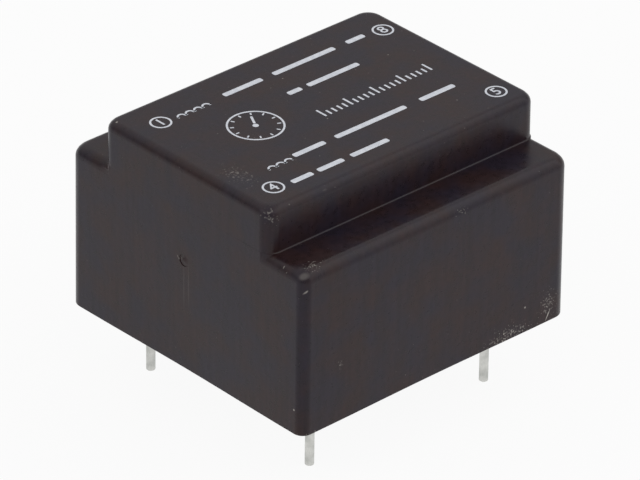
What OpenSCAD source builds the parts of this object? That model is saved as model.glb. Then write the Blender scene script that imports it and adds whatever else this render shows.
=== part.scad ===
// Encapsulated mains transformer for printed circuit boards, EI 20 core.
//
// Frame: the origin is the middle of the case's seating rim, which is also the
// middle of the four corner pins. +X runs along the coil from the primary pins
// (1 and 4) to the secondary pins (5 to 8), and +Z points up, away from the
// board. The pins reach below z = 0, through the board. All sizes in mm.

/* [Core] */
// Width of the tongue that the coil sits on
tongue_w = 6.6; // [5.6:0.1:7.6]
// Width of the outer legs and of both yokes
leg_w = 3.3; // [2.8:0.1:3.8]
// Width of each window, from tongue to outer leg
window_w = 3.4; // [3.2:0.1:4.4]
// Length of each window, along the coil
window_l = 10; // [8.4:0.2:12]
// Thickness of one core sheet
sheet_t = 0.5; // [0.35:0.05:0.65]
// Number of layers in the stack, each one an E sheet and an I sheet
sheet_n = 12; // [8:1:14]

/* [Coil former] */
// Sliding room between the tongue and the former's tube
tongue_gap = 0.1; // [0.05:0.05:0.2]
// Wall of the tube that the windings sit on
tube_t = 0.5; // [0.3:0.1:0.7]
// Thickness of the two end flanges
flange_t = 0.5; // [0.3:0.1:0.7]
// Thickness of the wall between the two chambers
partition_t = 0.5; // [0.4:0.1:1]
// Room between the flanges and the core's outer legs
leg_gap = 0.3; // [0.2:0.1:0.5]
// Room between the flanges and the yokes
yoke_gap = 0.05; // [0.05:0.05:0.2]
// Corner radius of the flanges
flange_r = 0.8; // [0.4:0.1:1.4]
// Room below the pin rails for the wire ends and solder
lead_room = 0.7; // [0.5:0.1:0.9]
// Rail left beyond the pins at its ends and outer side
rail_edge = 1.2; // [0.8:0.1:1.6]
// Rail left beyond the pins, away from the coil
rail_nose = 2.4; // [1.6:0.1:3]
// Plastic left above each pin's pressed-in end
pin_cover = 0.4; // [0.2:0.1:0.8]
// Width of the flange slots that the wires leave through
slot_w = 0.6; // [0.4:0.05:0.8]

/* [Windings] */
// Depth left free between the windings and the flange rims
chamber_room = 0.5; // [0.4:0.1:0.9]
// Thickness of each wrap of insulating tape
tape_t = 0.1; // [0.05:0.05:0.15]
// Diameter of the twisted ends of the primary wire
primary_lead_d = 0.14; // [0.1:0.02:0.24]
// Diameter of the ends of both secondary wires
secondary_lead_d = 0.2; // [0.1:0.02:0.24]
// Air between the wire ends and the underside of the rails
lead_gap = 0.02; // [0.01:0.01:0.1]

/* [Pins] */
// Distance between the primary row and the secondary row
row_pitch = 15; // [15:0.25:16]
// Distance between neighbouring pin places in a row
pin_pitch = 5; // [4.5:0.1:6]
// Diameter of the tinned pin wire
pin_d = 0.6; // [0.5:0.05:0.8]
// Length of the pins below the seating rim
pin_l = 5.1; // [3:0.1:8]
// Chamfer on the cut end of each pin
pin_chamfer = 0.1; // [0.05:0.01:0.15]
// Height of the solder collar under the rail
solder_h = 0.9; // [0.5:0.05:1]
// Thickness of the solder collar at its top
solder_t = 0.35; // [0.2:0.05:0.5]

/* [Case] */
// Wall thickness of the case sides
wall = 0.8; // [0.6:0.05:1.2]
// Thickness of the roof over the core and over the coil
roof = 0.9; // [0.7:0.05:1.5]
// Draft angle of every wall
draft = 0.3; // [0:0.1:1]
// Room beside the core, at the top of the stack
side_gap = 0.1; // [0.1:0.05:0.6]
// Room beyond the longer of core and rails, at the top of the stack
end_gap = 0.6; // [0.3:0.1:1.2]
// Room above the core, under the shoulders
shoulder_gap = 0.2; // [0.1:0.1:0.6]
// Room beside the flanges, in the crown
crown_gap = 0.5; // [0.3:0.1:1]
// Room above the flanges, in the crown
roof_gap = 0.2; // [0.1:0.1:0.6]
// Height of the flanges' lower edge above the seating rim
base_gap = 1.2; // [1:0.1:2]
// Depth of the casting resin's surface inside the rim
resin_depth = 0.4; // [0.2:0.1:0.6]
// Radius of the upright corners of the body
body_corner_r = 1.2; // [1.1:0.1:2]
// Radius of the upright corners of the crown
crown_corner_r = 1; // [0.9:0.1:2]
// Radius along the edges of the shoulders
shoulder_r = 0.7; // [0.3:0.1:0.9]
// Radius along the edges of the crown
crown_r = 0.6; // [0.3:0.1:0.8]
// Radius of the upright corners of the cavity
cavity_corner_r = 0.4; // [0.3:0.1:0.8]
// Radius along the roof edges of the cavity
cavity_r = 0.2; // [0.1:0.05:0.25]
// Step between the end walls of crown and body, inside the cavity
crown_step = 0.1; // [0.05:0.05:0.3]
// Diameter of the moulding gate's pit in the primary end
gate_d = 0.9; // [0.6:0.1:1.5]
// Depth of the gate's pit
gate_depth = 0.12; // [0.05:0.01:0.3]
// Diameter of the broken-off gate left in the pit
gate_nub_d = 0.4; // [0.2:0.05:0.5]
// Height of the gate above the seating rim
gate_z = 7.75; // [5:0.25:10]

/* [Hidden] */
$fn = 48;
HULL_FN = 32;
EPS = 0.01;
BEND_SWELL = 1.06;
PITCHES_ACROSS = 3;
SHEETS = [for (i = [1:sheet_n]) i];
PRIMARY = -1;
SECONDARY = 1;

// Core: the coil lies along X, and the sheets lie flat on the board's plane.
core_w = tongue_w + 2 * (window_w + leg_w);
core_l = window_l + 2 * leg_w;
core_h = sheet_n * sheet_t;
flange_rise = window_w - leg_gap;
core_z0 = base_gap + flange_rise;
core_z1 = core_z0 + core_h;

// Coil former.
tube_w = tongue_w + 2 * (tongue_gap + tube_t);
tube_h = core_h + 2 * (tongue_gap + tube_t);
flange_w = tongue_w + 2 * flange_rise;
flange_h = core_h + 2 * flange_rise;
flange_z1 = core_z1 + flange_rise;
flange_x1 = window_l / 2 - yoke_gap;
flange_x0 = flange_x1 - flange_t;
chamber_x0 = partition_t / 2;
chamber_l = flange_x0 - chamber_x0;
mid_z = core_z0 + core_h / 2;
rail_z0 = base_gap + lead_room;
rail_x1 = row_pitch / 2 + rail_nose;
rail_w = PITCHES_ACROSS * pin_pitch + 2 * rail_edge;

// Windings, as growths of the tube's outline.
build = flange_rise - tongue_gap - tube_t - chamber_room;
primary_build = build - tape_t;
half_build = (build - 2 * tape_t) / 2;
lead_z = rail_z0 - max(primary_lead_d, secondary_lead_d) / 2 - lead_gap;
slot_x = flange_x0 + flange_t / 2;
turn_x = flange_x1 + slot_w;

// Pins: name, end of the coil, place in the row, slot place, winding depth.
pin_z1 = core_z0 - pin_cover;
root_w = pin_d * sqrt(PI) / 2;
tube_z0 = mid_z - tube_h / 2;
start_depth = half_build / 2;
finish_depth = primary_build - primary_lead_d;
PINS = [
    ["1", PRIMARY, 1.5, 0.6, start_depth],
    ["4", PRIMARY, -1.5, -0.6, finish_depth],
    ["5", SECONDARY, -1.5, -0.6, start_depth],
    ["6", SECONDARY, -0.5, -0.2, half_build - secondary_lead_d],
    ["7", SECONDARY, 0.5, 0.2, half_build + tape_t + start_depth],
    ["8", SECONDARY, 1.5, 0.6, build - tape_t - secondary_lead_d],
];

// Case, from what it holds. Half sizes are taken at the seating rim.
lean = tan(draft);
hold_l = max(core_l / 2, rail_x1);
hold_w = max(core_w, rail_w) / 2;
cavity_hl = hold_l + end_gap + lean * core_z1;
cavity_hw = hold_w + side_gap + lean * core_z1;
crown_cavity_hw = flange_w / 2 + crown_gap + lean * flange_z1;
body_hl = cavity_hl + wall;
body_hw = cavity_hw + wall;
crown_hw = crown_cavity_hw + wall;
shoulder_h = core_z1 + shoulder_gap + roof;
case_h = flange_z1 + roof_gap + roof;

// ---- shared shapes -------------------------------------------------------

// A flat rectangle with round corners, centred, with true arcs.
module round_rect(w, h, r) {
    square([w - 2 * r, h], center = true);
    square([w, h - 2 * r], center = true);
    for (sx = [-1, 1], sy = [-1, 1])
        translate([sx * (w / 2 - r), sy * (h / 2 - r)]) circle(r);
}

// Extrudes a Y-Z outline along X, from x0 over the length l.
module along_x(x0, l) {
    translate([x0, 0, 0]) rotate([90, 0, 90]) linear_extrude(l) children();
}

// A block with draft on all walls, round upright corners and a rounded rim.
// Half sizes hl and hw are those at z = 0, also when z0 is not 0.
module drafted_block(hl, hw, z0, z1, corner_r, rim_r) {
    shoulder = z1 - rim_r;
    top_r = corner_r - lean * shoulder;
    hull()
        for (sx = [-1, 1], sy = [-1, 1])
            translate([sx * (hl - corner_r), sy * (hw - corner_r), 0]) {
                translate([0, 0, z0])
                    cylinder(h = shoulder - z0, r1 = corner_r - lean * z0,
                             r2 = top_r, $fn = HULL_FN);
                translate([0, 0, shoulder])
                    rotate_extrude($fn = HULL_FN) intersection() {
                        translate([top_r - rim_r, 0]) circle(rim_r, $fn = HULL_FN);
                        translate([0, -rim_r]) square([top_r + EPS, 2 * rim_r]);
                    }
            }
}

// ---- case and resin ------------------------------------------------------

// The hollow of the case: a wide part round the core, a narrow one over the coil.
module cavity() {
    drafted_block(cavity_hl, cavity_hw, -1, shoulder_h - roof,
                  cavity_corner_r, cavity_r);
    drafted_block(cavity_hl - crown_step, crown_cavity_hw, -1, case_h - roof,
                  cavity_corner_r, cavity_r);
}

// The pit where the moulding gate broke off, with its stub left standing.
module gate_pit() {
    face_x = -body_hl + lean * gate_z;
    translate([face_x - EPS, 0, gate_z]) rotate([0, 90, 0])
        difference() {
            cylinder(h = gate_depth + EPS, d = gate_d);
            cylinder(h = gate_depth + EPS, d = gate_nub_d);
        }
}

module case() {
    color([0.14, 0.13, 0.135])
        difference() {
            union() {
                drafted_block(body_hl, body_hw, 0, shoulder_h,
                              body_corner_r, shoulder_r);
                drafted_block(body_hl, crown_hw, 0, case_h,
                              crown_corner_r, crown_r);
            }
            cavity();
            gate_pit();
        }
}

// Everything that stands in the resin, with the former's hollows left solid.
module potted_pieces() {
    core_block();
    former_block();
    for (end = [PRIMARY, SECONDARY]) chamber(end, 0, build);
    for (p = PINS) {
        pin(p);
        solder(p);
        lead_groove(p);
    }
}

module casting_resin() {
    color([0.17, 0.15, 0.14])
        difference() {
            cavity();
            translate([-body_hl, -body_hw, -2])
                cube([2 * body_hl, 2 * body_hw, 2 + resin_depth]);
            potted_pieces();
        }
}

// ---- core ----------------------------------------------------------------

// The outline that an E sheet and its I sheet fill together.
module core_outline() {
    difference() {
        square([core_l, core_w], center = true);
        for (s = [-1, 1])
            translate([0, s * (tongue_w + window_w) / 2])
                square([window_l, window_w], center = true);
    }
}

// The I sheet closes the window's open end, face to face with the three legs.
module i_outline() {
    translate([window_l / 2, -core_w / 2]) square([leg_w, core_w]);
}

module e_outline() {
    difference() {
        core_outline();
        i_outline();
    }
}

// Layer i of the stack, from 1. Every second layer is turned end for end.
module core_layer(i) {
    translate([0, 0, core_z0 + (i - 1) * sheet_t])
        rotate([0, 0, i % 2 == 0 ? 180 : 0])
            linear_extrude(sheet_t) children();
}

module core_e_sheet(i) {
    color([0.46, 0.47, 0.5]) core_layer(i) e_outline();
}

module core_i_sheet(i) {
    color([0.55, 0.56, 0.6]) core_layer(i) i_outline();
}

module core_block() {
    translate([0, 0, core_z0]) linear_extrude(core_h) core_outline();
}

// ---- coil former ---------------------------------------------------------

module flange(x0, t) {
    along_x(x0, t)
        translate([0, mid_z]) round_rect(flange_w, flange_h, flange_r);
}

// One pin rail, from the inside of its flange out past the pins.
module rail(end) {
    translate([end > 0 ? flange_x0 : -rail_x1, -rail_w / 2, rail_z0])
        cube([rail_x1 - flange_x0, rail_w, core_z0 - rail_z0]);
}

// Slot in a flange for the wire end that goes to pin p.
module lead_slot(p) {
    z1 = tube_z0 - p[4] + slot_w / 2;
    translate([p[1] > 0 ? flange_x0 - EPS : -flange_x1 - EPS,
               slot_y(p) - slot_w / 2, 0])
        cube([flange_t + 2 * EPS, slot_w, z1]);
}

// The former with its tongue channel, wire slots and pin holes still filled.
module former_block() {
    along_x(-flange_x1, 2 * flange_x1)
        translate([0, mid_z]) square([tube_w, tube_h], center = true);
    flange(-flange_x1, flange_t);
    flange(flange_x0, flange_t);
    flange(-partition_t / 2, partition_t);
    for (end = [PRIMARY, SECONDARY]) rail(end);
}

module coil_former() {
    color([0.93, 0.9, 0.82])
        difference() {
            former_block();
            for (p = PINS) lead_slot(p);
            along_x(-window_l / 2, window_l)
                translate([0, mid_z])
                    square([tongue_w + 2 * tongue_gap,
                            core_h + 2 * tongue_gap], center = true);
            for (p = PINS) pin_root(p);
        }
}

// ---- windings and tape ---------------------------------------------------

// The ring between two growths, in and out, of the tube's outline.
module growth_ring(in, out) {
    difference() {
        grown_tube(out);
        grown_tube(in);
    }
}

module grown_tube(g) {
    if (g > 0) round_rect(tube_w + 2 * g, tube_h + 2 * g, g);
    else square([tube_w, tube_h], center = true);
}

// What fills a chamber between two growths. end is PRIMARY or SECONDARY.
module chamber(end, in, out) {
    along_x(end > 0 ? chamber_x0 : -flange_x0, chamber_l)
        translate([0, mid_z]) growth_ring(in, out);
}

// A straight run of wire from a to b, a little swollen at its bends.
module wire(a, b, d) {
    v = b - a;
    translate(a) {
        sphere(d = d * BEND_SWELL);
        rotate([0, acos(v.z / norm(v)), atan2(v.y, v.x)])
            cylinder(h = norm(v), d = d);
    }
    translate(b) sphere(d = d * BEND_SWELL);
}

// The wire end that leaves its winding by the slot, runs under the rail and
// stops at the solder on pin p.
module lead(p) {
    d = lead_d(p);
    z0 = tube_z0 - p[4];
    y = slot_y(p);
    route = [
        [p[1] * (flange_x0 - d), y, z0],
        [p[1] * slot_x, y, z0],
        [p[1] * slot_x, y, lead_z],
        [p[1] * turn_x, y, lead_z],
        [pin_x(p), pin_y(p), lead_z],
    ];
    difference() {
        for (k = [0:len(route) - 2]) wire(route[k], route[k + 1], d);
        translate([pin_x(p), pin_y(p), 0])
            cylinder(h = core_z0, r = pin_d / 2 + solder_t);
    }
}

// The groove that the wire end to pin p keeps free of resin under the rail.
module lead_groove(p) {
    d = lead_d(p) * BEND_SWELL;
    stops = [
        [p[1] * slot_x, slot_y(p)],
        [p[1] * turn_x, slot_y(p)],
        [pin_x(p), pin_y(p)],
    ];
    translate([0, 0, lead_z - d / 2])
        for (k = [0, 1]) {
            run = stops[k + 1] - stops[k];
            translate(stops[k]) {
                rotate(atan2(run.y, run.x)) translate([0, -d / 2, 0])
                    cube([norm(run), d, lead_room / 2]);
                cylinder(h = lead_room / 2, d = d);
            }
        }
}

module winding(end, in, out, names) {
    color([0.72, 0.36, 0.16]) {
        chamber(end, in, out);
        for (p = PINS) if (is_in(p[0], names)) lead(p);
    }
}

module tape(end, in) {
    color([0.9, 0.78, 0.3]) chamber(end, in, in + tape_t);
}

// ---- pins ----------------------------------------------------------------

function pin_x(p) = p[1] * row_pitch / 2;
function pin_y(p) = p[2] * pin_pitch;
function slot_y(p) = p[3] * pin_pitch;
function lead_d(p) = p[1] > 0 ? secondary_lead_d : primary_lead_d;
function is_in(name, names) = len([for (n = names) if (n == name) n]) > 0;

// The root of pin p, coined square so that its rail and the wire turns grip
// it. It is as thick in section as the round wire, and starts at the resin.
module pin_root(p) {
    h = pin_z1 - resin_depth;
    translate([pin_x(p), pin_y(p), resin_depth])
        intersection() {
            translate([-root_w / 2, -root_w / 2, 0]) cube([root_w, root_w, h]);
            cylinder(h = h, d1 = pin_d, d2 = pin_d + 2 * h);
        }
}

module pin(p) {
    color([0.78, 0.78, 0.8]) {
        translate([pin_x(p), pin_y(p), -pin_l]) {
            cylinder(h = pin_chamfer, d1 = pin_d - 2 * pin_chamfer, d2 = pin_d);
            translate([0, 0, pin_chamfer])
                cylinder(h = resin_depth + pin_l - pin_chamfer, d = pin_d);
        }
        pin_root(p);
    }
}

// Solder on the wire turns at the root of pin p, hollow towards the pin's tip.
module solder(p) {
    outer = pin_d / 2 + solder_t;
    color([0.7, 0.71, 0.73])
        difference() {
            translate([pin_x(p), pin_y(p), rail_z0 - solder_h])
                rotate_extrude() difference() {
                    square([outer, solder_h]);
                    translate([outer, 0]) circle(solder_t - EPS);
                }
            pin_root(p);
        }
}

// ---- nodes ---------------------------------------------------------------

case();
casting_resin();
coil_former();
for (i = SHEETS) {
    core_e_sheet(i);
    core_i_sheet(i);
}
winding(PRIMARY, 0, primary_build, ["1", "4"]);  // primary_winding
tape(PRIMARY, primary_build);  // primary_tape
winding(SECONDARY, 0, half_build, ["5", "6"]);  // secondary_winding_1
tape(SECONDARY, half_build);  // secondary_interlayer_tape
winding(SECONDARY, half_build + tape_t, build - tape_t, ["7", "8"]);  // secondary_winding_2
tape(SECONDARY, build - tape_t);  // secondary_tape
for (p = PINS) {
    pin(p);
    solder(p);
}
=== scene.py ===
"""Looks of a potted mains transformer for circuit boards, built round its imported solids.

The case, its print and the pins are modelled here. The resin, coil former, core,
windings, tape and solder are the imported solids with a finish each.
"""

import logging
import math
from dataclasses import dataclass
from enum import Enum
from typing import Callable, Sequence

import bpy
from mathutils import Matrix, Vector


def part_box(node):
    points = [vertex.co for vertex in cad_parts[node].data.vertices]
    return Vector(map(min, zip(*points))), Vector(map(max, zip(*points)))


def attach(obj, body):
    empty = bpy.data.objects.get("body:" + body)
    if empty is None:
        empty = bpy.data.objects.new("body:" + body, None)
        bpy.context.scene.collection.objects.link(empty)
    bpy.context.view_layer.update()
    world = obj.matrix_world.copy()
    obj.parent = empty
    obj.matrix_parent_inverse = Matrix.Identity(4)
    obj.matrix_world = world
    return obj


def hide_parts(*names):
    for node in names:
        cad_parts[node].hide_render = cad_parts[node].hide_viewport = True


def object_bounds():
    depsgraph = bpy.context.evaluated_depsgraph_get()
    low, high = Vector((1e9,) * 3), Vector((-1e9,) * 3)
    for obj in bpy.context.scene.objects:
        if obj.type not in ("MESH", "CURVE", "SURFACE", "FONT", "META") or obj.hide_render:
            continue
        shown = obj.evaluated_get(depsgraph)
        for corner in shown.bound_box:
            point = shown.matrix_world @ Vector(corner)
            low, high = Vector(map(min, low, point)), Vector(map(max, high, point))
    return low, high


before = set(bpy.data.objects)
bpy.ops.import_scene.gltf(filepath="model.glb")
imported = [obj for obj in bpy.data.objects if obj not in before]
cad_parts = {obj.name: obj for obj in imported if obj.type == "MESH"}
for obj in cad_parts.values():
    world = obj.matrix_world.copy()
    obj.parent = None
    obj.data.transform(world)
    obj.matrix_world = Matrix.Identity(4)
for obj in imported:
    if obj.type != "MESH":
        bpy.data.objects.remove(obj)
CAD_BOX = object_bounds()

MM = 0.001
ROOT = "root"
MERGE = 0.0005 * MM
LOG = logging.getLogger("pcb_transformer")

Object = bpy.types.Object
Material = bpy.types.Material
Socket = bpy.types.NodeSocket


class Slot(Enum):
    """Names of material slots, which nothing in this script reads."""

    CASE = "case_plastic"
    RESIN = "resin"
    FORMER = "former_plastic"
    CORE = "core_steel"
    COPPER = "enamelled_copper"
    TAPE = "tape"
    WIRE = "tinned_wire"
    SOLDER = "solder_tin"


@dataclass(frozen=True)
class Step:
    """One stretch of a loft: how far up it goes, and how far in on each side."""

    rise: float
    in_x: float
    in_y: float


# ---- modelling by operators ------------------------------------------------


def select_only(*objects: Object) -> None:
    """Selects these objects and nothing else, the last one active.

    Args:
        objects: what the next operator is to act on.
    """
    bpy.ops.object.select_all(action="DESELECT")
    for item in objects:
        item.select_set(True)
    bpy.context.view_layer.objects.active = objects[-1]


def new_piece(name: str, add: Callable[..., object], **settings: object) -> Object:
    """Adds a primitive at its size and place, with that place in its mesh.

    Args:
        name: the piece's name.
        add: the operator that adds the primitive.
        settings: the operator's settings.

    Returns:
        The new piece, its object at the origin.
    """
    bpy.ops.object.select_all(action="DESELECT")
    add(**settings)
    made = bpy.context.active_object
    made.name = made.data.name = name
    bpy.ops.object.transform_apply(location=True, rotation=True, scale=True)
    return made


def edit(piece: Object, steps: Callable[[], None]) -> None:
    """Runs modelling steps on a piece in edit mode, with all of it selected.

    Args:
        piece: the piece to shape.
        steps: the operators to run.
    """
    select_only(piece)
    bpy.ops.object.mode_set(mode="EDIT")
    bpy.ops.mesh.select_all(action="SELECT")
    steps()
    bpy.ops.object.mode_set(mode="OBJECT")


def select_faces(piece: Object, wanted: Callable[[Vector, Vector], bool]) -> None:
    """Selects the faces of a piece, in edit mode, by their middle and normal.

    Args:
        piece: the piece in edit mode.
        wanted: says from its middle and normal whether a face is selected.
    """
    bpy.ops.mesh.select_all(action="DESELECT")
    bpy.ops.object.mode_set(mode="OBJECT")
    for face in piece.data.polygons:
        face.select = wanted(face.center, face.normal)
    bpy.ops.object.mode_set(mode="EDIT")
    bpy.ops.mesh.select_mode(type="FACE")


def select_vertices(piece: Object, wanted: Callable[[Vector], bool]) -> None:
    """Selects the vertices of a piece, in edit mode, by their place.

    Args:
        piece: the piece in edit mode.
        wanted: says from its place whether a vertex is selected.
    """
    bpy.ops.mesh.select_mode(type="VERT")
    bpy.ops.mesh.select_all(action="DESELECT")
    bpy.ops.object.mode_set(mode="OBJECT")
    for vertex in piece.data.vertices:
        vertex.select = wanted(vertex.co)
    bpy.ops.object.mode_set(mode="EDIT")


def extrude(rise: float) -> None:
    """Extrudes the selected faces straight up by a rise in metres."""
    bpy.ops.mesh.extrude_region_move(TRANSFORM_OT_translate={"value": (0, 0, rise)})


def apply_modifier(piece: Object, kind: str, **settings: object) -> None:
    """Adds a modifier with these settings and applies it.

    Args:
        piece: the piece that gets it.
        kind: Blender's name of the modifier.
        settings: the modifier's own settings.
    """
    select_only(piece)
    bpy.ops.object.modifier_add(type=kind)
    modifier = piece.modifiers[-1]
    for key, value in settings.items():
        setattr(modifier, key, value)
    bpy.ops.object.modifier_apply(modifier=modifier.name)


def combine(piece: Object, tool: Object, operation: str) -> None:
    """Joins a tool shape to a piece or cuts it out, and removes the tool.

    Args:
        piece: the piece that stays.
        tool: the shape that is used up.
        operation: UNION or DIFFERENCE.
    """
    apply_modifier(piece, "BOOLEAN", operation=operation, object=tool, solver="EXACT")
    bpy.data.objects.remove(tool)


def join(name: str, parts: Sequence[Object]) -> Object:
    """Joins parts into one piece.

    Args:
        name: the name of the joined piece.
        parts: what it is made of.

    Returns:
        The joined piece.
    """
    select_only(*parts)
    bpy.ops.object.join()
    made = bpy.context.active_object
    made.name = made.data.name = name
    return made


def moved_copy(part: Object, shift: Vector) -> Object:
    """Copies a part with its own mesh, and moves the copy's mesh.

    Args:
        part: the part to copy.
        shift: how far the copy is moved, in metres.

    Returns:
        The copy.
    """
    select_only(part)
    bpy.ops.object.duplicate(linked=False)
    copy = bpy.context.active_object
    edit(copy, lambda: bpy.ops.transform.translate(value=shift) and None)
    return copy


def finish_surface(piece: Object, sharp_deg: float = 35.0) -> None:
    """Merges doubles, turns the faces outwards and smooths what isn't an edge.

    Args:
        piece: the piece to finish.
        sharp_deg: the least angle between faces that stays an edge.
    """

    def clean() -> None:
        bpy.ops.mesh.remove_doubles(threshold=MERGE)
        bpy.ops.mesh.normals_make_consistent(inside=False)

    edit(piece, clean)
    select_only(piece)
    bpy.ops.object.shade_smooth_by_angle(angle=math.radians(sharp_deg))
    apply_modifier(piece, "WEIGHTED_NORMAL", weight=80, keep_sharp=True)


def settle(piece: Object, slot: Slot, finish: Material, *nodes: str) -> None:
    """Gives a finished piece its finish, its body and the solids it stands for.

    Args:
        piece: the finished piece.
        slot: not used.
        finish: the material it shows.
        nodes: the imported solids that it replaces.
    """
    piece.data.materials.clear()
    piece.data.materials.append(finish)
    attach(piece, ROOT)
    if nodes:
        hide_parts(*nodes)
    LOG.info("%s: %d faces", piece.name, len(piece.data.polygons))


def dress(node: str, finish: Material) -> None:
    """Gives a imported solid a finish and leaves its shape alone.

    Args:
        node: the name of the solid.
        finish: the material it shows.
    """
    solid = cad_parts[node]
    solid.data.materials.clear()
    solid.data.materials.append(finish)


def lofted_block(
    name: str,
    half: tuple[float, float],
    corners: tuple[float, float],
    z0: float,
    steps: Sequence[Step],
    arc: int = 10,
    cuts: int = 0,
) -> Object:
    """Lofts a block with round upright corners through a list of steps.

    Args:
        name: the piece's name.
        half: half its length and half its width at the bottom.
        corners: the radius of its upright corner at low X and low Y, and of the rest.
        z0: the height of its bottom.
        steps: the stretches from the bottom to the top.
        arc: the segments of each round corner.
        cuts: how often each long side is cut, so that it can be bent.

    Returns:
        A closed block.
    """
    block = new_piece(
        name, bpy.ops.mesh.primitive_plane_add, size=2, location=(0, 0, z0)
    )

    def loft() -> None:
        bpy.ops.transform.resize(value=(half[0], half[1], 1))
        select_vertices(block, lambda v: v.x < 0 and v.y < 0)
        bpy.ops.mesh.bevel(offset=corners[0], segments=arc, affect="VERTICES")
        select_vertices(
            block,
            lambda v: (v.x > 0 or v.y > 0)
            and abs(abs(v.x) - half[0]) + abs(abs(v.y) - half[1]) < MERGE,
        )
        bpy.ops.mesh.bevel(offset=corners[1], segments=arc, affect="VERTICES")
        if cuts:
            bpy.ops.mesh.select_mode(type="EDGE")
            select_long_edges(block, half[1])
            bpy.ops.mesh.subdivide(number_cuts=cuts)
        bpy.ops.mesh.select_all(action="SELECT")
        x, y = half
        for step in steps:
            extrude(step.rise)
            share = ((x - step.in_x) / x, (y - step.in_y) / y, 1)
            bpy.ops.transform.resize(value=share)
            x, y = x - step.in_x, y - step.in_y

    edit(block, loft)
    return block


def select_long_edges(piece: Object, least: float) -> None:
    """Selects the edges of a piece, in edit mode, that are longer than a length.

    Args:
        piece: the piece in edit mode.
        least: the length, in metres.
    """
    bpy.ops.mesh.select_all(action="DESELECT")
    bpy.ops.object.mode_set(mode="OBJECT")
    places = [vertex.co for vertex in piece.data.vertices]
    for edge in piece.data.edges:
        a, b = edge.vertices
        edge.select = (places[a] - places[b]).length > least
    bpy.ops.object.mode_set(mode="EDIT")


def quarter_round(radius: float, count: int = 6) -> list[Step]:
    """The steps from an upright wall over a convex round to a flat top.

    Args:
        radius: the radius of the round.
        count: how many steps it takes.

    Returns:
        The steps, from the bottom.
    """
    turns = [math.pi / 2 * i / count for i in range(count + 1)]
    steps = []
    for a, b in zip(turns, turns[1:]):
        inwards = radius * (math.cos(a) - math.cos(b))
        steps.append(Step(radius * (math.sin(b) - math.sin(a)), inwards, inwards))
    return steps


def quarter_cove(radius: float, lean: float, count: int = 5) -> list[Step]:
    """The steps from a flat ledge through a hollow round to an upright wall.

    Args:
        radius: the radius of the cove, which only the long walls have.
        lean: how far all walls move in for each unit of height.
        count: how many steps it takes.

    Returns:
        The steps, from the bottom.
    """
    turns = [math.pi / 2 * i / count for i in range(count + 1)]
    steps = []
    for a, b in zip(turns, turns[1:]):
        rise = radius * (math.cos(a) - math.cos(b))
        inwards = radius * (math.sin(b) - math.sin(a))
        steps.append(Step(rise, rise * lean, inwards + rise * lean))
    return steps


# ---- materials -------------------------------------------------------------


def linear(hex_colour: str) -> tuple[float, float, float, float]:
    """Turns an sRGB hex colour into the linear values that a shader takes.

    Args:
        hex_colour: six hex digits.

    Returns:
        Linear red, green, blue and alpha.
    """
    parts = [int(hex_colour[i : i + 2], 16) / 255 for i in (0, 2, 4)]
    red, green, blue = (
        c / 12.92 if c <= 0.04045 else ((c + 0.055) / 1.055) ** 2.4 for c in parts
    )
    return red, green, blue, 1.0


def add_node(
    tree: bpy.types.NodeTree,
    kind: str,
    inputs: dict[object, object] | None = None,
    **settings: object,
) -> bpy.types.Node:
    """Adds a node with its settings, and feeds its inputs.

    Args:
        tree: the node tree that gets it.
        kind: the node's type, without its ShaderNode prefix.
        inputs: input name or number to a socket that feeds it, or to a value.
        settings: the node's own properties.

    Returns:
        The new node.
    """
    node = tree.nodes.new("ShaderNode" + kind)
    for key, value in settings.items():
        setattr(node, key, value)
    for key, value in (inputs or {}).items():
        if isinstance(value, Socket):
            tree.links.new(value, node.inputs[key])
        else:
            node.inputs[key].default_value = value
    return node


def new_material(name: str) -> tuple[Material, bpy.types.NodeTree]:
    """A material with an empty node tree.

    Args:
        name: the name of the finish.

    Returns:
        The material and its tree.
    """
    material = bpy.data.materials.new(name)
    material.use_nodes = True
    material.node_tree.nodes.clear()
    return material, material.node_tree


@dataclass(frozen=True)
class Mark:
    """A pale mark on the case, as an ellipsoid that the surface passes through.

    Fields:
        place: its middle, in mm.
        half: its half sizes, in mm.
        turn: its turn, in radians.
        strength: how pale it is, from 0 to 1.
        scattered: whether it is a field of fine specks instead of one stroke.
    """

    place: tuple[float, float, float]
    half: tuple[float, float, float]
    turn: tuple[float, float, float] = (0.0, 0.0, 0.0)
    strength: float = 1.0
    scattered: bool = False


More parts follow.
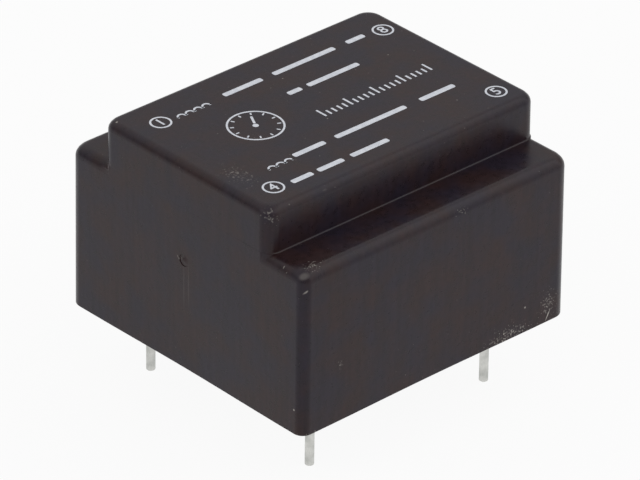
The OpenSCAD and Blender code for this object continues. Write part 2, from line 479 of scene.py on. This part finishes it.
# Knocks, scratches and scuffs, and the two streaks under the moulding gate.
CASE_MARKS = (
    Mark((-11.2, -8.9, 11.28), (0.2, 0.07, 0.24), strength=0.9),
    Mark((-10.98, -10.8, 10.2), (0.08, 0.08, 0.36), (0.7, 0.7, 0.0), 0.4),
    Mark((-11.25, 8.64, 11.3), (0.2, 0.16, 0.16), strength=1.0),
    Mark((-11.33, -10.2, 1.7), (0.1, 0.08, 0.08), strength=0.8),
    Mark((9.6, -10.93, 0.44), (0.05, 0.1, 0.5), (0.0, 0.5, 0.0), 0.9),
    Mark((7.58, -10.93, 1.8), (0.09, 0.1, 0.09), strength=0.6),
    Mark((-10.8, 6.85, 14.45), (0.1, 0.1, 0.1), strength=0.6),
    Mark((-10.75, -7.6, 14.35), (0.22, 0.14, 0.2), strength=0.22),
    Mark((-9.45, -7.6, 14.35), (0.1, 0.12, 0.1), strength=0.7),
    Mark((-6.6, -7.62, 14.3), (0.3, 0.1, 0.12), strength=0.12),
    Mark((-10.95, -10.5, 11.15), (0.5, 0.3, 0.25), strength=0.12),
    Mark((-11.3, 0.02, 5.9), (0.2, 0.07, 2.0), strength=0.045),
    Mark((-11.3, -0.42, 6.1), (0.2, 0.07, 1.8), strength=0.045),
    Mark((-11.3, 0.42, 7.75), (0.2, 0.45, 0.25), strength=0.5, scattered=True),
    Mark((6.2, -10.93, 0.2), (3.4, 0.4, 1.5), strength=0.8, scattered=True),
    Mark((9.6, -10.93, 1.3), (1.4, 0.4, 1.7), strength=0.5, scattered=True),
    Mark((-8.2, -10.93, 4.0), (0.45, 0.3, 0.7), strength=0.35, scattered=True),
    Mark((-10.6, -10.6, 0.0), (1.5, 1.5, 0.35), strength=0.8, scattered=True),
    Mark((-9.9, -10.2, 11.3), (1.3, 0.9, 0.35), strength=0.6, scattered=True),
    Mark((-10.9, -7.4, 13.9), (0.9, 0.9, 1.0), strength=0.4, scattered=True),
    Mark((-9.6, -3.2, 14.5), (1.3, 2.6, 0.4), strength=0.35, scattered=True),
    Mark((2.0, -10.8, 10.9), (0.8, 0.4, 0.4), strength=0.5, scattered=True),
    Mark((10.9, -10.5, 0.2), (1.2, 1.0, 0.6), strength=0.7, scattered=True),
)


@dataclass(frozen=True)
class MouldedPolyester:
    """Black mineral-filled polyester, injection moulded in a spark-eroded tool.

    The eye sees a soft satin, a fine grain, faint brown and violet clouds of filler,
    flow lines up the walls, dust on the crown, and the small knocks of handling.
    """

    name: str = "moulded_polyester_black"
    brown: str = "2a1a1b"
    violet: str = "211a25"
    dust: str = "c9c3bb"

    def make(self) -> Material:
        """The material."""
        material, tree = new_material(self.name)
        place = add_node(tree, "TexCoord").outputs["Object"]
        height = add_node(tree, "SeparateXYZ", {0: place}).outputs[2]
        # Clouds of filler, 2.5 mm across, over a mottle of 0.4 mm.
        clouds = self.noise(tree, place, 2.5, 3.0)
        mottle = self.noise(tree, place, 0.4, 3.0)
        # Flow lines 0.3 mm wide and 5 mm tall, from the gate to the rim.
        upright = add_node(tree, "Mapping", {0: place, 3: (1.0, 1.0, 0.06)})
        flow = self.noise(tree, upright.outputs[0], 0.3, 2.0)
        share = add_node(
            tree, "MapRange", {0: clouds, 1: 0.36, 2: 0.64, 3: 0.0, 4: 1.0}
        ).outputs[0]
        base = add_node(
            tree,
            "Mix",
            {0: share, 6: linear(self.brown), 7: linear(self.violet)},
            data_type="RGBA",
        ).outputs[2]
        uneven = add_node(tree, "Math", {0: mottle, 1: flow}, operation="ADD")
        shade = add_node(
            tree, "MapRange", {0: uneven.outputs[0], 1: 0.7, 2: 1.3, 3: 0.78, 4: 1.22}
        ).outputs[0]
        base = add_node(
            tree,
            "VectorMath",
            {0: base, 3: shade},
            operation="SCALE",
        ).outputs[0]
        pale = self.add_dust(tree, place, height)
        specks = self.noise(tree, place, 0.13, 1.0)
        for mark in CASE_MARKS:
            pale = self.add_mark(tree, place, specks, mark, pale)
        colour = add_node(
            tree,
            "Mix",
            {0: pale, 6: base, 7: linear(self.dust)},
            data_type="RGBA",
        ).outputs[2]
        # The satin is a little uneven, and dull where it is scuffed.
        satin = add_node(
            tree, "MapRange", {0: mottle, 1: 0.3, 2: 0.7, 3: 0.26, 4: 0.34}
        ).outputs[0]
        rough = add_node(tree, "Mix", {0: pale, 2: satin, 3: 0.7}).outputs[0]
        # Grains of 0.12 mm left by the eroded tool, on ripples of 0.5 mm.
        grain = self.noise(tree, place, 0.12, 2.0)
        ripple = self.noise(tree, place, 0.5, 1.0)
        waves = add_node(
            tree, "Bump", {"Height": ripple, "Strength": 1.0, "Distance": 0.006 * MM}
        ).outputs[0]
        waves = add_node(
            tree,
            "Bump",
            {
                "Height": flow,
                "Strength": 1.0,
                "Distance": 0.0007 * MM,
                "Normal": waves,
            },
        ).outputs[0]
        relief = add_node(
            tree,
            "Bump",
            {
                "Height": grain,
                "Strength": 1.0,
                "Distance": 0.0025 * MM,
                "Normal": waves,
            },
        ).outputs[0]
        shader = add_node(
            tree,
            "BsdfPrincipled",
            {
                "Base Color": colour,
                "Roughness": rough,
                "Normal": relief,
                "Specular IOR Level": 0.25,
            },
        )
        add_node(tree, "OutputMaterial", {0: shader.outputs[0]})
        return material

    @staticmethod
    def noise(
        tree: bpy.types.NodeTree, place: Socket, size_mm: float, detail: float
    ) -> Socket:
        """A noise of a real size.

        Args:
            tree: the tree that gets it.
            place: the coordinates it reads.
            size_mm: the size of its patches.
            detail: how many finer layers it has.

        Returns:
            A value round 0.5.
        """
        inputs = {"Vector": place, "Scale": 1 / (size_mm * MM), "Detail": detail}
        return add_node(tree, "TexNoise", inputs).outputs["Fac"]

    def add_dust(
        self, tree: bpy.types.NodeTree, place: Socket, height: Socket
    ) -> Socket:
        """Dust: few specks on the walls, more of them on the crown.

        Args:
            tree: the tree that gets it.
            place: Object coordinates.
            height: how high the point is.

        Returns:
            A mask of the specks.
        """
        cells = add_node(
            tree, "TexVoronoi", {"Vector": place, "Scale": 1 / (0.7 * MM)}
        ).outputs
        spot = add_node(
            tree, "MapRange", {0: cells["Distance"], 1: 0.085, 2: 0.03, 3: 0.0, 4: 1.0}
        ).outputs[0]
        pick = add_node(tree, "SeparateColor", {0: cells["Color"]}).outputs
        # One cell in forty has a speck on the walls, one in four on the crown.
        least = add_node(
            tree,
            "MapRange",
            {0: height, 1: 14.3 * MM, 2: 14.4 * MM, 3: 0.975, 4: 0.76},
        ).outputs[0]
        chosen = add_node(
            tree, "Math", {0: pick[0], 1: least}, operation="GREATER_THAN"
        ).outputs[0]
        tone = add_node(
            tree, "MapRange", {0: pick[1], 1: 0.0, 2: 1.0, 3: 0.04, 4: 0.5}
        ).outputs[0]
        shown = add_node(tree, "Math", {0: chosen, 1: tone}, operation="MULTIPLY")
        return add_node(
            tree, "Math", {0: spot, 1: shown.outputs[0]}, operation="MULTIPLY"
        ).outputs[0]

    @staticmethod
    def add_mark(
        tree: bpy.types.NodeTree,
        place: Socket,
        specks: Socket,
        mark: Mark,
        below: Socket,
    ) -> Socket:
        """Adds one pale mark to a mask.

        Args:
            tree: the tree that gets it.
            place: Object coordinates.
            specks: a fine noise, which breaks up a scattered mark.
            mark: the mark.
            below: the mask so far.

        Returns:
            The mask with the mark in it.
        """
        inside = add_node(
            tree,
            "Mapping",
            {
                0: place,
                1: Vector(mark.place) * MM,
                2: mark.turn,
                3: Vector(mark.half) * MM,
            },
            vector_type="TEXTURE",
        ).outputs[0]
        ball = add_node(
            tree, "TexGradient", {0: inside}, gradient_type="SPHERICAL"
        ).outputs[1]
        start, full = 0.0, 0.6
        if mark.scattered:
            weight = add_node(
                tree, "MapRange", {0: ball, 1: 0.0, 2: 0.8, 3: 0.0, 4: 0.26}
            ).outputs[0]
            ball = add_node(
                tree, "Math", {0: specks, 1: weight}, operation="ADD"
            ).outputs[0]
            start, full = 0.78, 1.0
        share = add_node(
            tree, "MapRange", {0: ball, 1: start, 2: full, 3: 0.0, 4: mark.strength}
        ).outputs[0]
        return add_node(
            tree, "Math", {0: below, 1: share}, operation="MAXIMUM"
        ).outputs[0]


@dataclass(frozen=True)
class PlainFinish:
    """A finish of one base colour with clouds, grain and a worked direction.

    Fields:
        clouds_mm: the size of its cloudy patches.
        grain_mm: the size of its grain along X, Y and Z.
        grain_depth_mm: how deep the grain is.
    """

    name: str
    colour: str
    shade: str
    roughness: float
    metallic: float = 0.0
    coat: float = 0.0
    clouds_mm: float = 2.0
    grain_mm: tuple[float, float, float] = (0.3, 0.3, 0.3)
    grain_depth_mm: float = 0.004

    def make(self) -> Material:
        """The material."""
        material, tree = new_material(self.name)
        place = add_node(tree, "TexCoord").outputs["Object"]
        clouds = add_node(
            tree,
            "TexNoise",
            {"Vector": place, "Scale": 1 / (self.clouds_mm * MM), "Detail": 3.0},
        ).outputs["Fac"]
        share = add_node(
            tree, "MapRange", {0: clouds, 1: 0.35, 2: 0.65, 3: 0.0, 4: 1.0}
        ).outputs[0]
        colour = add_node(
            tree,
            "Mix",
            {0: share, 6: linear(self.colour), 7: linear(self.shade)},
            data_type="RGBA",
        ).outputs[2]
        stretched = add_node(
            tree,
            "Mapping",
            {0: place, 3: Vector([1 / (g * MM) for g in self.grain_mm])},
        ).outputs[0]
        grain = add_node(
            tree, "TexNoise", {"Vector": stretched, "Scale": 1.0, "Detail": 2.0}
        ).outputs["Fac"]
        bump = add_node(
            tree,
            "Bump",
            {"Height": grain, "Strength": 0.6, "Distance": self.grain_depth_mm * MM},
        ).outputs[0]
        roughness = add_node(
            tree,
            "MapRange",
            {0: clouds, 1: 0.3, 2: 0.7, 3: self.roughness, 4: self.roughness + 0.1},
        ).outputs[0]
        shader = add_node(
            tree,
            "BsdfPrincipled",
            {
                "Base Color": colour,
                "Roughness": roughness,
                "Metallic": self.metallic,
                "Coat Weight": self.coat,
                "Normal": bump,
            },
        )
        add_node(tree, "OutputMaterial", {0: shader.outputs[0]})
        return material


# ---- the case --------------------------------------------------------------


@dataclass
class Case:
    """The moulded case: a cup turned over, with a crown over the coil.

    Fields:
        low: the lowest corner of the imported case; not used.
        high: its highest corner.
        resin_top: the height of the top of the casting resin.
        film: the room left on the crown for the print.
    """

    low: Vector
    high: Vector
    resin_top: float
    lean: float = math.tan(math.radians(0.3))
    shoulder: float = 11.4 * MM
    crown_half_width: float = 7.77 * MM
    body_corners: tuple[float, float] = (0.7 * MM, 1.05 * MM)
    crown_corners: tuple[float, float] = (0.9 * MM, 0.95 * MM)
    shoulder_round: float = 0.75 * MM
    crown_round: float = 0.62 * MM
    foot_cove: float = 0.1 * MM
    end_sink: float = 0.09 * MM
    side_sink: float = 0.085 * MM
    film: float = 0.008 * MM
    wall: float = 0.8 * MM
    roof: float = 0.9 * MM
    cavity_corner: float = 0.4 * MM
    gate_radius: float = 0.42 * MM
    gate_stub_radius: float = 0.17 * MM
    gate_depth: float = 0.05 * MM
    gate_height: float = 7.75 * MM

    def half_length(self, z: float, wall: float = 0.0) -> float:
        """Half the outer length at a height, less a wall."""
        return self.high.x - wall - self.lean * z

    def drafted(self, rise: float) -> Step:
        """A stretch of drafted wall."""
        return Step(rise, rise * self.lean, rise * self.lean)

    def body(self) -> Object:
        """The wide lower block, up to the shoulders, with its walls sunk at the rim."""
        half = (self.half_length(0), self.high.y)
        wall_top = self.shoulder - self.shoulder_round
        steps = [self.drafted(wall_top / 8)] * 8
        steps += quarter_round(self.shoulder_round)
        body = lofted_block(
            "case_shell", half, self.body_corners, 0, steps, cuts=11
        )
        for side, push in (
            (Vector((half[0], 0, 0)), self.end_sink),
            (Vector((0, half[1], 0)), self.side_sink),
        ):
            self.sink(body, side, push)
            self.sink(body, -side, push)
        return body

    @staticmethod
    def sink(body: Object, side: Vector, push: float) -> None:
        """Pulls the middle of one wall in at the rim, as the plastic shrinks.

        Args:
            body: the block.
            side: the middle of the wall's lower edge.
            push: how far it goes in, in metres.
        """

        def pull() -> None:
            select_vertices(body, lambda v: (v - side).length < 0.5 * MM)
            bpy.ops.transform.translate(
                value=-side.normalized() * push,
                use_proportional_edit=True,
                proportional_edit_falloff="SMOOTH",
                proportional_size=9.6 * MM,
            )

        edit(body, pull)

    def crown(self) -> Object:
        """The narrow block over the coil, with a cove at the foot of its long walls."""
        z0 = self.shoulder - self.shoulder_round
        half_width = self.crown_half_width - self.lean * z0 + self.foot_cove
        steps = [self.drafted(self.shoulder_round)]
        steps += quarter_cove(self.foot_cove, self.lean)
        wall_top = self.high.z - self.film - self.crown_round
        steps.append(self.drafted(wall_top - self.shoulder - self.foot_cove))
        steps += quarter_round(self.crown_round)
        half = (self.half_length(z0), half_width)
        return lofted_block("crown", half, self.crown_corners, z0, steps)

    def hollow(self) -> Object:
        """The cavity for core and coil, as a solid to be cut out."""
        below = -self.wall
        tops = (self.shoulder - self.roof, self.resin_top)
        widths = (self.high.y - self.wall, self.crown_half_width - self.wall)
        parts = []
        for top, width, inset in zip(tops, widths, (0.0, 0.1 * MM)):
            half = (
                self.half_length(below, self.wall) - inset,
                width - self.lean * below,
            )
            steps = [self.drafted(top - below)]
            corners = (self.cavity_corner, self.cavity_corner)
            parts.append(lofted_block("hollow", half, corners, below, steps, arc=4))
        combine(parts[0], parts[1], "UNION")
        return parts[0]

    def gate(self) -> Object:
        """The pit where the moulding gate broke off, less the stub left in it."""
        face = -self.half_length(self.gate_height)
        length = 1.0 * MM
        pit = new_piece(
            "gate",
            bpy.ops.mesh.primitive_cylinder_add,
            vertices=32,
            radius=self.gate_radius,
            depth=length,
            location=(face + self.gate_depth - length / 2, 0, self.gate_height),
            rotation=(0, math.pi / 2, 0),
        )
        inner = face + self.gate_depth

        def leave_stub() -> None:
            select_faces(pit, lambda c, n: n.x > 0.9 and abs(c.x - inner) < MERGE)
            bpy.ops.mesh.inset(thickness=self.gate_radius - self.gate_stub_radius)
            stub = (-self.gate_depth * 0.8, 0.05 * MM, 0)
            bpy.ops.mesh.extrude_region_move(TRANSFORM_OT_translate={"value": stub})
            bpy.ops.transform.resize(value=(1, 0.6, 0.75))

        edit(pit, leave_stub)
        return pit

    def build(self) -> Object:
        """The whole case as one closed shell."""
        shell = self.body()
        combine(shell, self.crown(), "UNION")
        combine(shell, self.hollow(), "DIFFERENCE")
        combine(shell, self.gate(), "DIFFERENCE")
        finish_surface(shell)
        return shell


# ---- the print on the crown ------------------------------------------------


@dataclass
class TopPrint:
    """White pad print on the crown: pin numbers, and plain signs in four rows.

    Fields:
        top: the height of the top of the film.
        film: how thick it is.
    """

    top: float
    film: float = 0.008 * MM
    stroke: float = 0.13 * MM
    ring_radius: float = 0.72 * MM
    bump_radius: float = 0.34 * MM

    def lay_flat(self, sign: Object, cut_open: bool) -> Object:
        """Gives a flat shape the film's thickness, as a fill or as an outline.

        Args:
            sign: a flat shape at the bottom of the film.
            cut_open: whether only its outline stays.

        Returns:
            The sign.
        """

        def shape() -> None:
            if cut_open:
                bpy.ops.mesh.inset(thickness=self.stroke)
                bpy.ops.mesh.delete(type="FACE")
                bpy.ops.mesh.select_all(action="SELECT")
            extrude(self.film)

        edit(sign, shape)
        return sign

    def polygon(
        self, x: float, y: float, radius: float, sides: int = 40, turn: float = 0.0,
        filled: bool = False,
    ) -> Object:
        """A ring, or the outline of a regular polygon.

        Args:
            x: the place of its middle, in mm.
            y: the place of its middle, in mm.
            radius: its outer radius, in mm.
            sides: the number of its sides.
            turn: how far it is turned, in radians.
            filled: whether it is filled.

        Returns:
            The sign.
        """
        sign = new_piece(
            "sign",
            bpy.ops.mesh.primitive_circle_add,
            vertices=sides,
            radius=radius * MM,
            fill_type="NGON",
            location=(x * MM, y * MM, self.top - self.film),
            rotation=(0, 0, turn),
        )
        return self.lay_flat(sign, not filled)

    def bar(
        self, x: float, y: float, length: float, width: float, turn: float = 0.0
    ) -> Object:
        """A bar with rounded ends.

        Args:
            x: the place of its middle, in mm.
            y: the place of its middle, in mm.
            length: its length, in mm.
            width: its width, in mm.
            turn: how far it is turned, in radians.

        Returns:
            The bar.
        """
        bar = new_piece("bar", bpy.ops.mesh.primitive_plane_add, size=MM)

        def shape() -> None:
            bpy.ops.transform.resize(value=(length, width, 1))
            bpy.ops.mesh.bevel(
                offset=0.3 * min(length, width) * MM, segments=3, affect="VERTICES"
            )

        edit(bar, shape)
        self.lay_flat(bar, False)
        bar.rotation_euler.z = turn
        bar.location = (x * MM, y * MM, self.top - self.film)
        select_only(bar)
        bpy.ops.object.transform_apply(location=True, rotation=True, scale=True)
        return bar

    def number(self, text: str, x: float, y: float, size: float) -> Object:
        """Plain pin numbers, as a mesh.

        Args:
            text: the numbers.
            x: the place of their middle, in mm.
            y: the place of their middle, in mm.
            size: the size of the type, in mm.

        Returns:
            The numbers.
        """
        bpy.ops.object.select_all(action="DESELECT")
        bpy.ops.object.text_add()
        type_set = bpy.context.active_object
        type_set.data.body = text
        type_set.data.align_x = type_set.data.align_y = "CENTER"
        type_set.data.size = size * MM
        type_set.data.extrude = self.film / 2
        type_set.data.offset = 0.012 * MM
        bpy.ops.object.convert(target="MESH")
        shift = (x * MM, y * MM, self.top - self.film / 2)
        edit(type_set, lambda: bpy.ops.transform.translate(value=shift) and None)
        return type_set

    def coil(self, x: float, y: float, bumps: int) -> list[Object]:
        """The sign of a winding: half rings side by side.

        Args:
            x: the place of its left end, in mm.
            y: the place of its foot, in mm.
            bumps: how many half rings it has.

        Returns:
            The half rings.
        """
        radius = self.bump_radius / MM
        pitch = 2 * radius
        first = self.polygon(x + radius, y, radius, 24)

        def keep_upper_half() -> None:
            bpy.ops.mesh.bisect(
                plane_co=(0, y * MM, 0),
                plane_no=(0, 1, 0),
                use_fill=True,
                clear_inner=True,
            )

        edit(first, keep_upper_half)
        copies = [
            moved_copy(first, Vector((pitch * i * MM, 0, 0))) for i in range(1, bumps)
        ]
        return [first] + copies

    def dial(self, x: float, y: float, radius: float) -> list[Object]:
        """A plain dial: a ring with twelve ticks and a hand.

        Args:
            x: the place of its middle, in mm.
            y: the place of its middle, in mm.
            radius: its outer radius, in mm.

        Returns:
            The parts of the dial.
        """
        parts = [self.polygon(x, y, radius), self.polygon(x, y, 0.2, 16, filled=True)]
        for i in range(12):
            angle = math.tau * i / 12
            reach = radius - 0.36
            spot = (x + reach * math.cos(angle), y + reach * math.sin(angle))
            parts.append(self.bar(*spot, 0.26, 0.1, angle))
        # The hand stops short of the hub, so that no two flats lie in each other.
        angle = math.radians(62)
        spot = (x + 0.72 * math.cos(angle), y + 0.72 * math.sin(angle))
        parts.append(self.bar(*spot, 0.9, 0.16, angle))
        return parts

    def scale(self, x: float, y: float, ticks: int) -> list[Object]:
        """A plain scale: upright ticks, with every fifth one longer.

        Args:
            x: the place of its first tick, in mm.
            y: the place of its foot, in mm.
            ticks: how many ticks it has.

        Returns:
            The ticks.
        """
        parts = []
        for i in range(ticks):
            height = 0.95 if i % 5 == 0 else 0.55
            parts.append(self.bar(x + 0.45 * i, y + height / 2, 0.14, height))
        return parts

    def build(self) -> Object:
        """The whole print as one piece."""
        parts = []
        for text, x, y in (
            ("1", -8.85, 4.95),
            ("4", -9.0, -5.6),
            ("8", 9.65, 4.68),
            ("5", 9.47, -5.88),
        ):
            parts.append(self.polygon(x, y, self.ring_radius / MM))
            parts.append(self.number(text, x, y, 1.15))
        # Two signs of a winding stand before the rows of the two circuits.
        parts += self.coil(-7.7, 4.65, 4)
        parts += self.coil(-7.8, -3.85, 3)
        for x, y, length in (
            (-2.05, 4.95, 3.2),
            (3.1, 4.95, 5.2),
            (0.05, 2.45, 1.1),
            (3.3, 2.45, 4.3),
            (-4.2, -3.55, 2.6),
            (0.95, -3.55, 5.9),
            (-6.9, -5.88, 1.7),
            (-4.55, -5.88, 2.1),
            (-1.3, -5.88, 3.1),
            (7.5, 4.95, 1.5),
            (6.6, -3.55, 2.9),
        ):
            parts.append(self.bar(x, y, length, 0.42))
        parts += self.dial(-4.7, 0.8, 1.85)
        parts += self.scale(-0.6, -1.2, 21)
        made = join("top_print", parts)
        finish_surface(made)
        return made


# ---- pins ------------------------------------------------------------------


@dataclass
class Pin:
    """One pin of tinned wire, cut off square and pressed into the coil former.

    Fields:
        node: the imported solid.
    """

    node: str
    radius: float = 0.3 * MM

    def build(self) -> Object:
        """The pin, modelled from its cut end upwards."""
        low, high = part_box(self.node)
        middle = (low + high) / 2
        pin = new_piece(
            self.node + "_wire",
            bpy.ops.mesh.primitive_cylinder_add,
            vertices=28,
            radius=self.radius,
            depth=high.z - low.z,
            location=middle,
        )

        def round_the_cut() -> None:
            select_faces(pin, lambda c, n: n.z < -0.9)
            bpy.ops.mesh.bevel(offset=0.07 * MM, segments=3)

        edit(pin, round_the_cut)
        finish_surface(pin, 50.0)
        return pin


# ---- studio ----------------------------------------------------------------


@dataclass
class Studio:
    """A pale floor, soft lamps, a white surround and the camera.

    Fields:
        floor_z: the height of the floor, under the ends of the pins.
    """

    floor_z: float

    def add_camera(self) -> None:
        """A long lens from the front left, looking down at the case."""
        data = bpy.data.cameras.new("camera")
        data.lens, data.sensor_width = 339.9, 36.0
        data.clip_start, data.clip_end = 0.01, 10.0
        camera = bpy.data.objects.new("camera", data)
        bpy.context.scene.collection.objects.link(camera)
        look = Vector((0.58674, 0.63203, -0.50623)).normalized()
        right = look.cross(Vector((0.3344, 0.38024, 0.86232))).normalized()
        turn = Matrix((right, right.cross(look), -look)).transposed().to_4x4()
        place = Vector((-222.92, -240.24, 197.21)) * MM
        camera.matrix_world = Matrix.Translation(place) @ turn
        bpy.context.scene.camera = camera

    def add_floor(self) -> None:
        """A plain white floor, which shows as white and keeps a soft shadow."""
        floor = new_piece(
            "floor",
            bpy.ops.mesh.primitive_circle_add,
            vertices=64,
            radius=1.5,
            fill_type="NGON",
            location=(0, 0, self.floor_z),
        )
        material, tree = new_material("matt_white_floor")
        path = add_node(tree, "LightPath").outputs
        lit = add_node(tree, "BsdfDiffuse", {0: (0.8, 0.8, 0.8, 1)}).outputs[0]
        white = add_node(tree, "Emission", {0: (1, 1, 1, 1), 1: 1.0}).outputs[0]
        seen = add_node(
            tree,
            "Math",
            {0: path["Is Camera Ray"], 1: path["Is Glossy Ray"]},
            operation="MAXIMUM",
        ).outputs[0]
        seen = add_node(
            tree,
            "Math",
            {0: seen, 1: path["Is Transmission Ray"]},
            operation="MAXIMUM",
        ).outputs[0]
        share = add_node(tree, "Math", {0: seen, 1: 0.93}, operation="MULTIPLY")
        both = add_node(tree, "MixShader", {0: share.outputs[0], 1: lit, 2: white})
        add_node(tree, "OutputMaterial", {0: both.outputs[0]})
        floor.data.materials.append(material)

    def add_lamps(self) -> None:
        """A large soft box on the right, which leads, and a weak one on the left."""
        for name, place, size, power in (
            ("right_softbox", (0.55, -0.6, 0.6), 1.2, 3.2),
            ("left_softbox", (-0.8, 0.1, 0.5), 0.8, 1.0),
        ):
            lamp = bpy.data.lights.new(name, "AREA")
            lamp.size, lamp.energy = size, power
            item = bpy.data.objects.new(name, lamp)
            bpy.context.scene.collection.objects.link(item)
            item.location = place
            item.rotation_euler = (-Vector(place)).to_track_quat("-Z", "Y").to_euler()

    def add_world(self) -> None:
        """A light tent: white floor and ceiling, with a greyer stretch between them."""
        world = bpy.data.worlds.new("white_surround")
        bpy.context.scene.world = world
        world.use_nodes = True
        tree = world.node_tree
        tree.nodes.clear()
        path = add_node(tree, "LightPath").outputs
        mirrored = add_node(
            tree,
            "Math",
            {0: path["Is Glossy Ray"], 1: path["Is Transmission Ray"]},
            operation="MAXIMUM",
        ).outputs[0]
        direction = add_node(tree, "TexCoord").outputs["Generated"]
        height = add_node(tree, "SeparateXYZ", {0: direction}).outputs[2]
        tent = add_node(tree, "ValToRGB", {0: height})
        tent.color_ramp.interpolation = "EASE"
        stops = ((0.0, 0.8), (0.1, 0.42), (0.36, 0.45), (0.56, 0.8), (0.75, 1.0))
        while len(tent.color_ramp.elements) < len(stops):
            tent.color_ramp.elements.new(0.5)
        for stop, (at, tone) in zip(tent.color_ramp.elements, stops):
            stop.position, stop.color = at, (tone, tone, tone, 1.0)
        ceiling = tent.outputs[0]
        dim = add_node(tree, "Background", {0: (1, 1, 1, 1), 1: 0.6}).outputs[0]
        soft = add_node(tree, "Background", {0: ceiling, 1: 1.1}).outputs[0]
        white = add_node(tree, "Background", {0: (1, 1, 1, 1), 1: 1.0}).outputs[0]
        lit = add_node(tree, "MixShader", {0: mirrored, 1: dim, 2: soft}).outputs[0]
        both = add_node(
            tree, "MixShader", {0: path["Is Camera Ray"], 1: lit, 2: white}
        )
        add_node(tree, "OutputWorld", {0: both.outputs[0]})

    def build(self) -> None:
        """Everything round the object."""
        bpy.context.scene.view_settings.view_transform = "Standard"
        self.add_camera()
        self.add_floor()
        self.add_lamps()
        self.add_world()


# ---- all together ----------------------------------------------------------

RESIN = PlainFinish("casting_resin_black", "1d1b1a", "23201f", 0.18, clouds_mm=3.0,
                    grain_mm=(1.5, 1.5, 1.5), grain_depth_mm=0.02)
FORMER = PlainFinish("polyamide_natural", "e6dcc4", "ddd1b4", 0.5)
STEEL = PlainFinish("silicon_steel_blued", "7c828d", "666a74", 0.35, 1.0, 0.2,
                    grain_mm=(2.0, 0.1, 0.1))
COPPER = PlainFinish("enamelled_copper", "b86430", "a2521f", 0.3, 1.0, 1.0)
TAPE = PlainFinish("polyester_tape_yellow", "e3bb3c", "d8ac2c", 0.25, coat=0.5)
TINNED = PlainFinish("tinned_copper_wire", "cfcfcb", "b9bab6", 0.35, 1.0,
                     grain_mm=(0.05, 0.05, 0.6), clouds_mm=0.6)
SOLDER = PlainFinish("dip_solder", "b9bbbd", "a5a7a8", 0.25, 1.0)
INK = PlainFinish("pad_print_ink_white", "e6e9f0", "d6dae3", 0.5, clouds_mm=0.3)


def main() -> None:
    """Builds and dresses every piece in order."""
    logging.basicConfig(level=logging.INFO, format="%(message)s")
    low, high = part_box("case")
    Studio(CAD_BOX[0][2]).build()
    case = Case(low, high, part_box("casting_resin")[1].z)
    settle(case.build(), Slot.CASE, MouldedPolyester().make(), "case")
    settle(TopPrint(high.z).build(), Slot.CASE, INK.make())
    tinned = TINNED.make()
    for node in sorted(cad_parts):
        if node.startswith("pin_"):
            settle(Pin(node).build(), Slot.WIRE, tinned, node)
    finishes = (
        ("casting_resin", RESIN.make()),
        ("coil_former", FORMER.make()),
        ("core_", STEEL.make()),
        ("solder_", SOLDER.make()),
        ("tape", TAPE.make()),
        ("winding", COPPER.make()),
    )
    for node in sorted(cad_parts):
        for word, finish in finishes:
            if word in node:
                dress(node, finish)
                break


if __name__ == "__main__":
    main()
